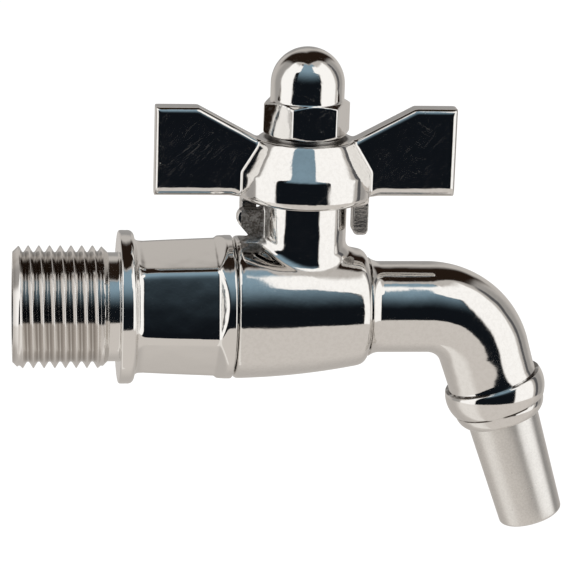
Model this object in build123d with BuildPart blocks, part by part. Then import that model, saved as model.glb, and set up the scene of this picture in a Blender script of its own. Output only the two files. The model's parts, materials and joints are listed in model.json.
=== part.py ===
from build123d import *
import os
from math import cos, radians, sin, sqrt

# Barrel ball valve, millimetres, +Z up along the stem.
# The origin is on the waterway, at the inboard end of the inlet thread, and +X is the way the water runs.

# Waterway and the place of the stem
bore_d = 9.0
stem_x = 34.3

# Inlet connector
thread_d = 20.955
thread_len = 14.9
thread_chamfer = 1.1
thread_pitch = 1.814
thread_depth = 1.1
thread_crest = 0.5
thread_root = 0.2
relief_d = 18.6
relief_len = 3.0
flange_d = 26.2
flange_t = 2.6
flange_round = 0.8
flange_step = 1.8
hex_root_len = 0.7
hex_af_inlet = 19.9
hex_af_body = 20.9
hex_lean = 16.0
collar_d = 24.6
collar_len = 1.1
collar_round = 0.4
inlet_bore_d = 13.0
inlet_bore_len = 34.0
nose_d = 19.8

# Ball and seats
ball_d = 16.0
ball_room = 0.7
slot_w = 4.0
slot_web = 1.2
seat_bore_gap = 0.3
seat_wall = 3.0
seat_rim = 1.0
seat_len = 3.0

# Barrel of the body
barrel_back = 11.7
barrel_front = 11.4
barrel_back_d = 24.5
barrel_waist = 1.4
barrel_taper = 4.3
barrel_corner = 1.6
barrel_edge = 0.6
gasket_t = 1.0
gasket_wall = 1.0

# Spout, bent down and a little forward
spout_d = 15.7
spout_bore_d = 11.0
spout_shank_d = 14.4
spout_shank_len = 3.2
spout_groove_len = 0.6
spout_round = 0.5
spout_run = 21.95
bend_r = 10.9
bend_angle = 71.8
leg_len = 5.9
leg_end_d = 16.2
bead_edge_d = 17.0
bead_d = 17.6
bead_crown = 1.8
bead_len = 4.6
bead_end_d = 16.3
ridge_d = 15.8
ridge_len = 2.35
ridge_end_d = 13.9
ridge_bow = 0.3

# Outlet nozzle
nozzle_root_d = 12.5
nozzle_tip_d = 11.2
nozzle_len = 19.4
nozzle_bore_d = 8.6
nozzle_depth = 5.0
nozzle_round = 0.5

# Neck and stuffing box
neck_d = 14.7
neck_blend = 1.8
neck_floor = 1.6
neck_rise = 3.3
box_wall = 1.75

# Stem and what seals it
stem_d = 8.0
shoulder_d = 10.0
shoulder_t = 1.5
shoulder_lift = 0.3
thrust_t = 0.8
o_ring_section = 1.0
packing_t = 2.0
packing_vee = 0.7
packing_rings = 3
gland_t = 4.0
spring_t = 0.35
spring_d = 12.6
gland_nut_af = 13.0
gland_nut_t = 3.5
stem_flats = 6.0
stem_engage = 8.4
stem_chamfer = 0.8

# Handle
hub_d = 22.5
hub_top_d = 16.1
hub_band = 4.85
hub_drop = 7.25
hub_plate = 3.1
hub_round = 0.5
hub_foot_round = 1.2
wing_span = 51.2
wing_t = 4.4
wing_tip_w = 7.2
wing_rise = 5.35
wing_lift = 0.35
wing_root_d = 16.8
wing_round = 1.0
wing_corner = 1.8
tab_reach = 5.65
tab_w = 4.0
tab_near = 0.2
tab_t = 2.6
tab_round = 0.9

# Stop lugs on the neck
lug_w = 2.4
lug_reach = 11.6
lug_foot_reach = 9.8
lug_below_hub = 1.65
lug_tip_h = 2.6
lug_sink = 0.6

# Cap nut and its washer
washer_t = 0.5
washer_d = 11.6
cap_nut_af = 13.0
cap_nut_turn = 6.0
cap_hex_h = 6.1
cap_dome_d = 12.5
cap_h = 15.0
nut_chamfer = 0.6

# Clearances
thread_gap = 0.05
seal_gap = 0.05
running_gap = 0.06
joint_gap = 0.25
stop_gap = 0.2
hub_gap = 0.55
tab_gap = 0.65
nut_gap = 0.1

# Levels up the stem, from the waterway's axis
ball_r = ball_d / 2
bore_r = bore_d / 2
stem_r = stem_d / 2
slot_floor_z = bore_r + slot_web
shoulder_z = ball_r + shoulder_lift
thrust_z = shoulder_z + shoulder_t + running_gap
floor_z = thrust_z + thrust_t
box_z = floor_z + neck_floor
packing_top_z = box_z + packing_rings * packing_t
spring_z = packing_top_z + gland_t
neck_top_z = packing_top_z + neck_rise
gland_nut_z = spring_z + running_gap + 2 * spring_t
plate_z = gland_nut_z + gland_nut_t + nut_gap
hub_top_z = plate_z + hub_plate
hub_bottom_z = plate_z - hub_drop
cap_nut_z = hub_top_z + washer_t
stem_top_z = cap_nut_z + stem_engage

# Places along the waterway, from the stem's axis
seat_sphere_r = ball_r + seal_gap
seat_bore_r = bore_r + seat_bore_gap
seat_r = seat_bore_r + seat_wall
seat_front = sqrt(seat_sphere_r**2 - (seat_r - seat_rim) ** 2)
seat_lip = sqrt(seat_sphere_r**2 - seat_bore_r**2)
seat_back = seat_front + seat_len
cavity_r = ball_r + ball_room
nose_r = nose_d / 2
step_x = seat_front + gasket_t
nose_end = step_x + gasket_t
body_back_x = stem_x - barrel_back
collar_end_x = body_back_x - joint_gap
flange_x = relief_len
hex_x = flange_x + flange_t
hex_root_d = flange_d - 2 * flange_step
barrel_mid_r = (barrel_back_d - barrel_waist) / 2
barrel_front_r = (barrel_back_d - barrel_taper) / 2
shank_x = barrel_front - spout_shank_len

stem_axis = Axis((stem_x, 0, 0), (0, 0, 1))
stem_plane = Plane((stem_x, 0, 0), x_dir=(1, 0, 0), z_dir=(0, -1, 0))

# The bend turns about a line across the valve, and the outlet runs on from its end
bend_x = stem_x + spout_run
tilt = radians(bend_angle)
outlet_start = (bend_x + bend_r * sin(tilt), 0, bend_r * (cos(tilt) - 1))
outlet_way = (cos(tilt), 0, -sin(tilt))
outlet_axis = Axis(outlet_start, outlet_way)
outlet_plane = Plane(outlet_start, x_dir=(sin(tilt), 0, cos(tilt)), z_dir=(0, 1, 0))
bend_axis = Axis((bend_x, 0, -bend_r), (0, 1, 0))
bend_plane = Plane((bend_x, 0, 0), x_dir=(0, 1, 0), z_dir=(1, 0, 0))
ridge_x = leg_len + bead_len
beads_x = ridge_x + ridge_len
nozzle_top = beads_x - nozzle_depth


def level(z):
    """Plane across the stem at a height above the waterway."""
    return Plane((stem_x, 0, z))


def ring_face(inner_r, outer_r, z):
    """Flat ring across the stem at a height above the waterway."""
    with BuildSketch(level(z)) as face:
        Circle(outer_r)
        Circle(inner_r, mode=Mode.SUBTRACT)
    return face.sketch


def keep(piece, name):
    """Label a finished piece and write it."""
    piece.part.label = name
    export_step(piece.part, f"parts/{name}.step")


os.makedirs("parts", exist_ok=True)

# Body: barrel, neck and stop lugs in one casting
with BuildPart() as valve_body:
    with BuildSketch(stem_plane):
        with BuildLine():
            back = Line((-barrel_back, 0), (-barrel_back, barrel_back_d / 2))
            shell = ThreePointArc(
                back @ 1, (0, barrel_mid_r), (barrel_front - barrel_corner, barrel_front_r)
            )
            corner = TangentArc(shell @ 1, (barrel_front, spout_d / 2), tangent=shell % 1)
            Polyline(corner @ 1, (barrel_front, 0), (-barrel_back, 0))
        make_face()
    revolve(axis=Axis.X)
    fillet(edges().group_by(Axis.X)[0], barrel_edge)
    with BuildSketch(level(0)):
        Circle(neck_d / 2)
    extrude(amount=neck_top_z)
    neck_foot = edges(Select.NEW).filter_by(GeomType.LINE, reverse=True).sort_by(Axis.Z)[:-1]
    fillet(neck_foot, neck_blend)
    # Stop lugs beside the handle's tab, where it stands open and where it stands closed
    lug_top = hub_bottom_z - lug_below_hub
    lug_foot = barrel_mid_r - lug_sink
    open_stop = ((-1, 0, 0), (0, 1, 0), tab_near - stop_gap, -lug_w)
    closed_stop = ((0, 1, 0), (1, 0, 0), tab_near + tab_w + stop_gap, lug_w)
    for outward, across, stop, lug_t in (open_stop, closed_stop):
        with BuildSketch(Plane((stem_x, 0, 0), x_dir=outward, z_dir=across).offset(stop)):
            with BuildLine():
                Polyline(
                    (neck_d / 4, lug_top),
                    (lug_reach, lug_top),
                    (lug_reach, lug_top - lug_tip_h),
                    (lug_foot_reach, lug_foot),
                    (neck_d / 4, lug_foot),
                    close=True,
                )
            make_face()
        extrude(amount=lug_t)
    # Waterway: connector's bore, gasket step, ball room, seat pocket and the spout's socket
    with BuildSketch(stem_plane):
        with BuildLine():
            Polyline(
                (-barrel_back, 0),
                (-barrel_back, nose_r + thread_gap),
                (-step_x, nose_r + thread_gap),
                (-step_x, cavity_r),
                (seat_front, cavity_r),
                (seat_front, seat_r + seal_gap),
                (seat_back, seat_r + seal_gap),
                (seat_back, spout_bore_d / 2),
                (shank_x, spout_bore_d / 2),
                (shank_x, spout_shank_d / 2 + thread_gap),
                (barrel_front, spout_shank_d / 2 + thread_gap),
                (barrel_front, 0),
                close=True,
            )
        make_face()
    revolve(axis=Axis.X, mode=Mode.SUBTRACT)
    # Stem's way up the neck: shoulder room, floor and stuffing box
    with BuildSketch(stem_plane):
        with BuildLine():
            Polyline(
                (0, 0),
                (shoulder_d / 2 + seat_bore_gap, 0),
                (shoulder_d / 2 + seat_bore_gap, floor_z),
                (stem_r + running_gap, floor_z),
                (stem_r + running_gap, box_z),
                (neck_d / 2 - box_wall, box_z),
                (neck_d / 2 - box_wall, neck_top_z),
                (0, neck_top_z),
                close=True,
            )
        make_face()
    revolve(axis=stem_axis, mode=Mode.SUBTRACT)
keep(valve_body, "valve_body")

# Spout: shank in the barrel, tube, bend, leg and beaded collar, bored through
with BuildPart() as spout:
    with BuildSketch(stem_plane):
        with BuildLine():
            Polyline(
                (shank_x + seal_gap, 0),
                (shank_x + seal_gap, spout_shank_d / 2),
                (barrel_front + spout_groove_len, spout_shank_d / 2),
                (barrel_front + spout_groove_len + spout_round, spout_d / 2),
                (spout_run, spout_d / 2),
                (spout_run, 0),
                close=True,
            )
        make_face()
    revolve(axis=Axis.X)
    with BuildSketch(bend_plane):
        Circle(spout_d / 2)
    revolve(axis=bend_axis, revolution_arc=bend_angle)
    with BuildSketch(outlet_plane):
        with BuildLine():
            leg = Line((spout_d / 2, 0), (leg_end_d / 2, leg_len))
            lip = Line(leg @ 1, (bead_edge_d / 2, leg_len))
            bead = ThreePointArc(lip @ 1, (bead_d / 2, leg_len + bead_crown), (bead_end_d / 2, ridge_x))
            crease = Line(bead @ 1, (ridge_d / 2, ridge_x))
            ridge_mid = ((ridge_d + ridge_end_d) / 4 + ridge_bow, ridge_x + ridge_len / 2)
            ridge = ThreePointArc(crease @ 1, ridge_mid, (ridge_end_d / 2, beads_x))
            Polyline(ridge @ 1, (0, beads_x), (0, 0), leg @ 0)
        make_face()
    revolve(axis=outlet_axis)
    with BuildSketch(stem_plane):
        with Locations(((shank_x + spout_run) / 2, spout_bore_d / 4)):
            Rectangle(spout_run - shank_x, spout_bore_d / 2)
    revolve(axis=Axis.X, mode=Mode.SUBTRACT)
    with BuildSketch(bend_plane):
        Circle(spout_bore_d / 2)
    revolve(axis=bend_axis, revolution_arc=bend_angle, mode=Mode.SUBTRACT)
    with BuildSketch(outlet_plane):
        with BuildLine():
            Polyline(
                (0, 0),
                (spout_bore_d / 2, 0),
                (spout_bore_d / 2, nozzle_top),
                (nozzle_root_d / 2 + thread_gap, nozzle_top),
                (nozzle_root_d / 2 + thread_gap, beads_x),
                (0, beads_x),
                close=True,
            )
        make_face()
    revolve(axis=outlet_axis, mode=Mode.SUBTRACT)
keep(spout, "spout")

# Inlet connector: ridged thread, relief, flange, tapered hexagon, collar and the nose inside the body
thread_start = thread_chamfer - thread_len
thread_turns = int(-thread_start // thread_pitch)
thread_flank = (thread_pitch - thread_crest - thread_root) / 2
thread_root_r = thread_d / 2 - thread_depth
thread_line = []
for turn in range(thread_turns):
    crest_x = thread_start + turn * thread_pitch
    thread_line.append((crest_x, thread_d / 2))
    thread_line.append((crest_x + thread_crest, thread_d / 2))
    thread_line.append((crest_x + thread_crest + thread_flank, thread_root_r))
    thread_line.append((crest_x + thread_pitch - thread_flank, thread_root_r))
thread_line.append((thread_start + thread_turns * thread_pitch, thread_d / 2))
with BuildPart() as inlet_connector:
    with BuildSketch(Plane.XZ):
        with BuildLine():
            Polyline(
                (-thread_len, inlet_bore_d / 2),
                (-thread_len, thread_d / 2 - thread_chamfer),
                *thread_line,
                (0, thread_d / 2),
                (thread_d / 2 - relief_d / 2, relief_d / 2),
                (flange_x, relief_d / 2),
                (flange_x, flange_d / 2),
                (hex_x, flange_d / 2),
                (hex_x, hex_root_d / 2),
                (hex_x + hex_root_len, hex_root_d / 2),
                (collar_end_x - collar_len, collar_d / 2),
                (collar_end_x, collar_d / 2),
                (collar_end_x, nose_r),
                (stem_x - nose_end, nose_r),
                (stem_x - nose_end, bore_r),
                (inlet_bore_len - thread_len, bore_r),
                (inlet_bore_len - thread_len - (inlet_bore_d - bore_d) / 2, inlet_bore_d / 2),
                close=True,
            )
        make_face()
    revolve(axis=Axis.X)
    round_edges = edges().filter_by(GeomType.CIRCLE)
    flange_edges = round_edges.filter_by(lambda e: abs(e.radius - flange_d / 2) < 0.01)
    fillet(flange_edges, flange_round)
    collar_edge = round_edges.filter_by(lambda e: abs(e.radius - collar_d / 2) < 0.01).sort_by(Axis.X)[-1]
    fillet(collar_edge, collar_round)
    # Flats cut into the round, each running out at the collar
    hex_end_x = collar_end_x - collar_len - (collar_d - hex_af_body) / 2
    for turn in range(0, 360, 60):
        angle = radians(turn + hex_lean)
        flat_plane = Plane((0, 0, 0), x_dir=(1, 0, 0), z_dir=(0, -sin(angle), -cos(angle)))
        with BuildSketch(flat_plane):
            with BuildLine():
                Polyline(
                    (hex_x + hex_root_len, hex_af_inlet / 2),
                    (hex_end_x, hex_af_body / 2),
                    (hex_end_x + flange_d / 2 - hex_af_body / 2, flange_d / 2),
                    (hex_x + hex_root_len, flange_d / 2),
                    close=True,
                )
            make_face()
        extrude(amount=hex_af_body / 2, both=True, mode=Mode.SUBTRACT)
    # Seat pocket in the nose
    with BuildSketch(stem_plane):
        with BuildLine():
            Polyline(
                (-seat_back, 0),
                (-seat_back, seat_r + seal_gap),
                (-nose_end, seat_r + seal_gap),
                (-nose_end, 0),
                close=True,
            )
        make_face()
    revolve(axis=Axis.X, mode=Mode.SUBTRACT)
keep(inlet_connector, "inlet_connector")

# Outlet nozzle: straight in the collar, tapered outside, with a rounded mouth
with BuildPart() as outlet_nozzle:
    with BuildSketch(outlet_plane):
        with BuildLine():
            Polyline(
                (nozzle_bore_d / 2, nozzle_top),
                (nozzle_root_d / 2, nozzle_top),
                (nozzle_root_d / 2, beads_x),
                (nozzle_tip_d / 2, beads_x + nozzle_len),
                (nozzle_bore_d / 2, beads_x + nozzle_len),
                close=True,
            )
        make_face()
    revolve(axis=outlet_axis)
    tip = outlet_plane.from_local_coords((0, beads_x + nozzle_len, 0))
    mouth = edges().filter_by(GeomType.CIRCLE).sort_by_distance(tip)[:2]
    fillet(mouth, nozzle_round)
keep(outlet_nozzle, "outlet_nozzle")

# Ball: bore along the pipe when open, slot across it for the stem
with BuildPart() as ball:
    with BuildSketch(stem_plane):
        Circle(ball_r)
        Rectangle(2 * ball_r, ball_r, align=(Align.CENTER, Align.MAX), mode=Mode.SUBTRACT)
    revolve(axis=Axis.X)
    with BuildSketch(Plane.YZ.offset(stem_x)):
        Circle(bore_r)
    extrude(amount=ball_r, both=True, mode=Mode.SUBTRACT)
    with BuildSketch(level(slot_floor_z)):
        Rectangle(slot_w + 2 * running_gap, ball_d)
    extrude(amount=ball_r, mode=Mode.SUBTRACT)
keep(ball, "ball")

# Seats: rings with a spherical face, one each side of the ball
for name, way in (("inlet_seat", -1), ("outlet_seat", 1)):
    with BuildPart() as seat:
        with BuildSketch(stem_plane):
            with BuildLine():
                mid_r = (seat_bore_r + seat_r - seat_rim) / 2
                cup = ThreePointArc(
                    (way * seat_front, seat_r - seat_rim),
                    (way * sqrt(seat_sphere_r**2 - mid_r**2), mid_r),
                    (way * seat_lip, seat_bore_r),
                )
                Polyline(
                    cup @ 1,
                    (way * seat_back, seat_bore_r),
                    (way * seat_back, seat_r),
                    (way * seat_front, seat_r),
                    cup @ 0,
                )
            make_face()
        revolve(axis=Axis.X)
    keep(seat, name)

# Gasket between the nose and the step in the body
with BuildPart() as body_gasket:
    with BuildSketch(Plane.YZ.offset(stem_x - nose_end)):
        Circle(nose_r)
        Circle(nose_r - gasket_wall, mode=Mode.SUBTRACT)
    extrude(amount=gasket_t)
keep(body_gasket, "body_gasket")

# Stem: tang in the ball's slot, shoulder, grooved shank, thread and two flats
groove_z = floor_z + neck_floor / 2
groove_r = stem_r - o_ring_section
groove_half = o_ring_section / 2 + running_gap
with BuildPart() as stem:
    with BuildSketch(stem_plane):
        with BuildLine():
            Polyline(
                (0, shoulder_z),
                (shoulder_d / 2, shoulder_z),
                (shoulder_d / 2, shoulder_z + shoulder_t),
                (stem_r, shoulder_z + shoulder_t),
                (stem_r, groove_z - groove_half),
                (groove_r, groove_z - groove_half),
                (groove_r, groove_z + groove_half),
                (stem_r, groove_z + groove_half),
                (stem_r, stem_top_z - stem_chamfer),
                (stem_r - stem_chamfer, stem_top_z),
                (0, stem_top_z),
                close=True,
            )
        make_face()
    revolve(axis=stem_axis)
    with BuildSketch(level(plate_z)):
        Rectangle(2 * stem_d, 2 * stem_d)
        Rectangle(2 * stem_d, stem_flats, mode=Mode.SUBTRACT)
    extrude(amount=stem_top_z - plate_z, mode=Mode.SUBTRACT)
    with BuildSketch(level(slot_floor_z + running_gap)):
        Circle(seat_front - running_gap)
        Rectangle(slot_w, shoulder_d, mode=Mode.INTERSECT)
    extrude(amount=shoulder_z - slot_floor_z)
keep(stem, "stem")

# Ring in the stem's groove
with BuildPart() as stem_o_ring:
    with BuildSketch(stem_plane):
        with Locations((groove_r + o_ring_section / 2, groove_z)):
            Circle(o_ring_section / 2)
    revolve(axis=stem_axis)
keep(stem_o_ring, "stem_o_ring")

# Washer that the stem's shoulder turns against
with BuildPart() as thrust_washer:
    extrude(ring_face(stem_r + running_gap, shoulder_d / 2, thrust_z), amount=thrust_t)
keep(thrust_washer, "thrust_washer")

# Packing: three nested chevron rings in the stuffing box
packing_in = stem_r + running_gap
packing_out = neck_d / 2 - box_wall - seal_gap
packing_mid = (packing_in + packing_out) / 2
for level_no, name in enumerate(("packing_lower", "packing_middle", "packing_upper")):
    low = box_z + level_no * packing_t
    high = low + packing_t
    foot_vee = packing_vee if level_no else 0
    head_vee = packing_vee if level_no < packing_rings - 1 else 0
    with BuildPart() as packing:
        with BuildSketch(stem_plane):
            with BuildLine():
                foot = Polyline((packing_in, low), (packing_mid, low + foot_vee), (packing_out, low))
                head = Polyline((packing_out, high), (packing_mid, high + head_vee), (packing_in, high))
                Line(foot @ 1, head @ 0)
                Line(head @ 1, foot @ 0)
            make_face()
        revolve(axis=stem_axis)
    keep(packing, name)

# Gland ring: follower in the box with a rim above the neck
with BuildPart() as gland_ring:
    extrude(ring_face(packing_in, packing_out, packing_top_z), amount=gland_t)
keep(gland_ring, "gland_ring")

# Disc springs under the nut, one on the other
spring_levels = {"disc_spring_lower": spring_z + running_gap, "disc_spring_upper": gland_nut_z - spring_t}
for name, low in spring_levels.items():
    with BuildPart() as disc_spring:
        extrude(ring_face(stem_r + thread_gap, spring_d / 2, low), amount=spring_t)
    keep(disc_spring, name)

# Thin nut that loads the packing
with BuildPart() as gland_nut:
    with BuildSketch(level(gland_nut_z)):
        RegularPolygon(gland_nut_af / 2, 6, major_radius=False)
        Circle(stem_r + thread_gap, mode=Mode.SUBTRACT)
    extrude(amount=gland_nut_t)
keep(gland_nut, "gland_nut")

# Handle: two wings, conical hub with a hollow under it, and two stop tabs
with BuildPart() as handle:
    wing_bottom_z = hub_bottom_z + wing_lift
    wing_top_z = hub_top_z + wing_rise
    with BuildSketch(stem_plane):
        with BuildLine():
            Polyline(
                (0, wing_bottom_z),
                (wing_span / 2, wing_bottom_z),
                (wing_span / 2, wing_top_z),
                (wing_span / 2 - wing_tip_w, wing_top_z),
                (wing_root_d / 2, hub_top_z),
                (0, hub_top_z),
                close=True,
            )
        make_face()
        wing_points = vertices().filter_by(lambda v: v.X > stem_x + hub_d / 2)
        fillet(wing_points, wing_corner)
    extrude(amount=wing_t / 2, both=True)
    wing_rims = edges().filter_by(
        lambda e: abs(abs(e.center().Y) - wing_t / 2) < 0.01 and e.center().X > stem_x + wing_round
    )
    fillet(wing_rims, wing_round)
    mirror(about=Plane.YZ.offset(stem_x))
    with BuildSketch(stem_plane):
        with BuildLine():
            under = Line((0, hub_bottom_z), (hub_d / 2 - hub_foot_round, hub_bottom_z))
            foot_end = (hub_d / 2, hub_bottom_z + hub_foot_round)
            foot = TangentArc(under @ 1, foot_end, tangent=under % 1)
            Polyline(
                foot @ 1,
                (hub_d / 2, hub_bottom_z + hub_band),
                (hub_top_d / 2, hub_top_z),
                (0, hub_top_z),
                (0, hub_bottom_z),
            )
        make_face()
        upper = vertices().filter_by(lambda v: v.Z > hub_bottom_z + hub_band / 2)
        fillet(upper.filter_by(lambda v: v.X > stem_x + hub_top_d / 4), hub_round)
    revolve(axis=stem_axis)
    tab_middle = neck_d / 2 + tab_gap + tab_t / 2
    tab_middle_z = hub_bottom_z + (hub_band - tab_reach) / 2
    for way in (1, -1):
        with BuildSketch(Plane((stem_x, 0, 0), x_dir=(way, 0, 0), z_dir=(0, -way, 0)).offset(tab_near)):
            with Locations((tab_middle, tab_middle_z)):
                RectangleRounded(tab_t, tab_reach + hub_band, tab_round)
        extrude(amount=tab_w)
    with BuildSketch(level(hub_bottom_z)):
        Circle(neck_d / 2 + hub_gap)
    extrude(amount=plate_z - hub_bottom_z, mode=Mode.SUBTRACT)
    with BuildSketch(level(plate_z)):
        Circle(stem_r + thread_gap)
        Rectangle(stem_d + 2 * thread_gap, stem_flats + 2 * thread_gap, mode=Mode.INTERSECT)
    extrude(amount=hub_plate, mode=Mode.SUBTRACT)
keep(handle, "handle")

# Washer under the cap nut
with BuildPart() as lock_washer:
    extrude(ring_face(stem_r + thread_gap, washer_d / 2, hub_top_z), amount=washer_t)
keep(lock_washer, "lock_washer")

# Cap nut: chamfered hexagon, short round and a dome, blind inside
with BuildPart() as cap_nut:
    with BuildSketch(level(cap_nut_z)):
        RegularPolygon(cap_nut_af / 2, 6, major_radius=False, rotation=cap_nut_turn)
    extrude(amount=cap_hex_h)
    corner_r = cap_nut_af / sqrt(3)
    with BuildSketch(stem_plane):
        with BuildLine():
            Polyline(
                (0, cap_nut_z),
                (corner_r - nut_chamfer, cap_nut_z),
                (corner_r, cap_nut_z + nut_chamfer / 2),
                (corner_r, cap_nut_z + cap_hex_h - nut_chamfer),
                (cap_dome_d / 2, cap_nut_z + cap_hex_h),
                (0, cap_nut_z + cap_hex_h),
                close=True,
            )
        make_face()
    revolve(axis=stem_axis, mode=Mode.INTERSECT)
    dome_z = cap_nut_z + cap_h - cap_dome_d / 2
    with BuildSketch(stem_plane):
        with BuildLine():
            Line((0, cap_nut_z + cap_hex_h), (cap_dome_d / 2, cap_nut_z + cap_hex_h))
            Line((cap_dome_d / 2, cap_nut_z + cap_hex_h), (cap_dome_d / 2, dome_z))
            RadiusArc((cap_dome_d / 2, dome_z), (0, dome_z + cap_dome_d / 2), -cap_dome_d / 2)
            Line((0, dome_z + cap_dome_d / 2), (0, cap_nut_z + cap_hex_h))
        make_face()
    revolve(axis=stem_axis)
    with BuildSketch(level(cap_nut_z)):
        Circle(stem_r + thread_gap)
    extrude(amount=stem_engage + nut_chamfer, mode=Mode.SUBTRACT)
keep(cap_nut, "cap_nut")
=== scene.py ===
import json
import math

import bpy
from mathutils import Matrix, Vector


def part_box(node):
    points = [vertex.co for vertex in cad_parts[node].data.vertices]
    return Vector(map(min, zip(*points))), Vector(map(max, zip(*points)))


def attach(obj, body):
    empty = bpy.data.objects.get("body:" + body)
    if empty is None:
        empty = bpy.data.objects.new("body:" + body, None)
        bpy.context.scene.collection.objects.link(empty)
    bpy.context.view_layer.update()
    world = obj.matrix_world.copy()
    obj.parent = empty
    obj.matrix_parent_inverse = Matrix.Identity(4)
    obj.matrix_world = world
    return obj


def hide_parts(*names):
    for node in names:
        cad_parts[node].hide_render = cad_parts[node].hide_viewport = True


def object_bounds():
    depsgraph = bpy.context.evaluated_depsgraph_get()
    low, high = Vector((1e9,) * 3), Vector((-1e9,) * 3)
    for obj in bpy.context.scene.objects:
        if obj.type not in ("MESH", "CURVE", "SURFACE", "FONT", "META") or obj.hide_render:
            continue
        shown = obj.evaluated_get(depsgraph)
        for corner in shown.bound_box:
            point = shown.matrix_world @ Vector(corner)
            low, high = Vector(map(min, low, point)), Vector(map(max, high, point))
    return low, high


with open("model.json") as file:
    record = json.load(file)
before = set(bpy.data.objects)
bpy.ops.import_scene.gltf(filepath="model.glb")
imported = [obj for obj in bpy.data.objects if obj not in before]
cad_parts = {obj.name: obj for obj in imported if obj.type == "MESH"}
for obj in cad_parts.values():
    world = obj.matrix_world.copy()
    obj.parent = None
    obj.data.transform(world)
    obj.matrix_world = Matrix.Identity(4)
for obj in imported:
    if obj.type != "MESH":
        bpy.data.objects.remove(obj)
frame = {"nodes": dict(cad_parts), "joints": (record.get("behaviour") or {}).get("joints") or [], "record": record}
cad_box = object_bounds()
nodes = frame["nodes"]

# Sizes in metres, in the frame of the solids: water runs along +X, the stem stands along +Z
MM = 0.001
STEM_X = frame["joints"][0]["pos_m"][0]

# Connector, as turned
THREAD_R = 10.4775 * MM
THREAD_DEPTH = 1.162 * MM
PITCH = 1.814 * MM
THREAD_END = -14.9 * MM
THREAD_CHAMFER = 1.1 * MM
RELIEF_R = 9.3 * MM
FLANGE_X = 3.0 * MM
FLANGE_R = 13.1 * MM
HEX_X = 5.6 * MM
COLLAR_END = STEM_X - 11.95 * MM
COLLAR_R = 12.3 * MM
COLLAR_LEN = 1.1 * MM
HEX_FLAT_INLET = 9.95 * MM
HEX_FLAT_BODY = 10.45 * MM
HEX_ROOT_R = 11.3 * MM
HEX_LEAN = math.radians(16)
HEX_FILLET = 1.7 * MM
HEX_CROWN = 0.14 * MM
CORNER_SOFT = 0.25 * MM
CORNER_CUT = 0.25 * MM
INLET_BORE_R = 6.5 * MM
BORE_CONE_X = STEM_X - 20 * MM
BORE_CONE_END = STEM_X - 18 * MM
NOSE_R = 9.9 * MM
NOSE_BORE_R = 4.5 * MM
NOSE_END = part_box("inlet_connector")[1][0]
RELIEF_FILLET = 0.25 * MM
FLANGE_EDGE = 0.7 * MM
FLANGE_SHOULDER = 1.0 * MM
COLLAR_EDGE = 0.35 * MM
COLUMNS = 180
SHARP_DEG = 40
MERGE = 0.002 * MM

# Thread: flats and soft corners as shares of the pitch and depth, then its lead-in and run-out
CREST_FLAT = 0.04
ROOT_FLAT = 0.18
CREST_SOFT = 0.15
ROOT_SOFT = 0.2
TURNED_SOFT = 0.05 * MM
LEAD_X = THREAD_END + 0.5 * MM
LEAD = 1.2 * MM
FADE_END = 0.9 * MM
FADE = 1.6 * MM
RUNOUT = 1.2 * MM
TURN_STEPS = 24

# Spout, from the stem along the waterway, then along the outlet
SHANK_X = STEM_X + 8.25 * MM
SHANK_R = 7.2 * MM
GROOVE_END = STEM_X + 12.0 * MM
SPOUT_R = 7.85 * MM
SPOUT_EDGE = 0.12 * MM
FLARE_R = 3 * MM
FLARE_END = GROOVE_END + 1.6 * MM
FLARE_DEG = 38
TUBE_MIDDLE = 5 * MM
SPOUT_BORE_R = 5.5 * MM
BEND_X = STEM_X + 21.95 * MM
BEND_R = 10.9 * MM
BEND = math.radians(71.8)
LEG_END = 5.9 * MM
LEG_END_R = 7.80 * MM
LEG_WAIST = 0.16 * MM
BEAD_EDGE_R = 8.5 * MM
BEAD_R = 8.8 * MM
BEAD_CROWN = 7.7 * MM
RIDGE = 10.5 * MM
BEAD_END_R = 8.15 * MM
RIDGE_R = 7.9 * MM
RIDGE_END_R = 6.95 * MM
RIDGE_CROWN = 0.3 * MM
BEADS_END = 12.85 * MM
SOCKET = 7.85 * MM
SOCKET_GAP = 0.05 * MM
NOZZLE_R = 6.25 * MM
NOZZLE_TIP_R = 5.6 * MM
NOZZLE_TIP = 32.25 * MM
NOZZLE_BORE_R = 4.3 * MM
NOZZLE_LIP = 0.5 * MM
OUTLET_START = Vector((BEND_X + BEND_R * math.sin(BEND), 0, BEND_R * (math.cos(BEND) - 1)))
OUTLET_WAY = Vector((math.cos(BEND), 0, -math.sin(BEND)))
RING_POINTS = 128

# Handle
WING_T = 4.4 * MM
WING_BOTTOM = 19.72 * MM
FOOT_ROUND = 1.7 * MM
FOOT_BLEND = 1.5 * MM
HUB_R = 11.25 * MM

# Stop lugs on the body, and the domed nut
LUG_FOOT = 12.4 * MM
LUG_FOOT_REACH = 8.8 * MM
LUG_SHOULDER = 15.6 * MM
LUG_TOP = 17.72 * MM
LUG_REACH = 11.6 * MM
LUG_ROUND = 1.4 * MM
NUT_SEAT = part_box("lock_washer")[0][2]
NUT_FOOT_R = 6.45 * MM

# Camera, from the photograph
CAMERA_AZIMUTH = math.radians(-7)
CAMERA_ELEVATION = math.radians(15.5)
CAMERA_DISTANCE = 0.47
FRAME_WIDTH = 0.0979
SENSOR = 36.0
CENTRE_RIGHT = -2.6 * MM
CENTRE_UP = 3.7 * MM

# Floor and room
FLOOR_Z = cad_box[0][2] - 9 * MM
FLOOR_SIZE = 1.6
ROOM_RADIUS = 1.2
DEGREES = 180 / math.pi


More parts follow.
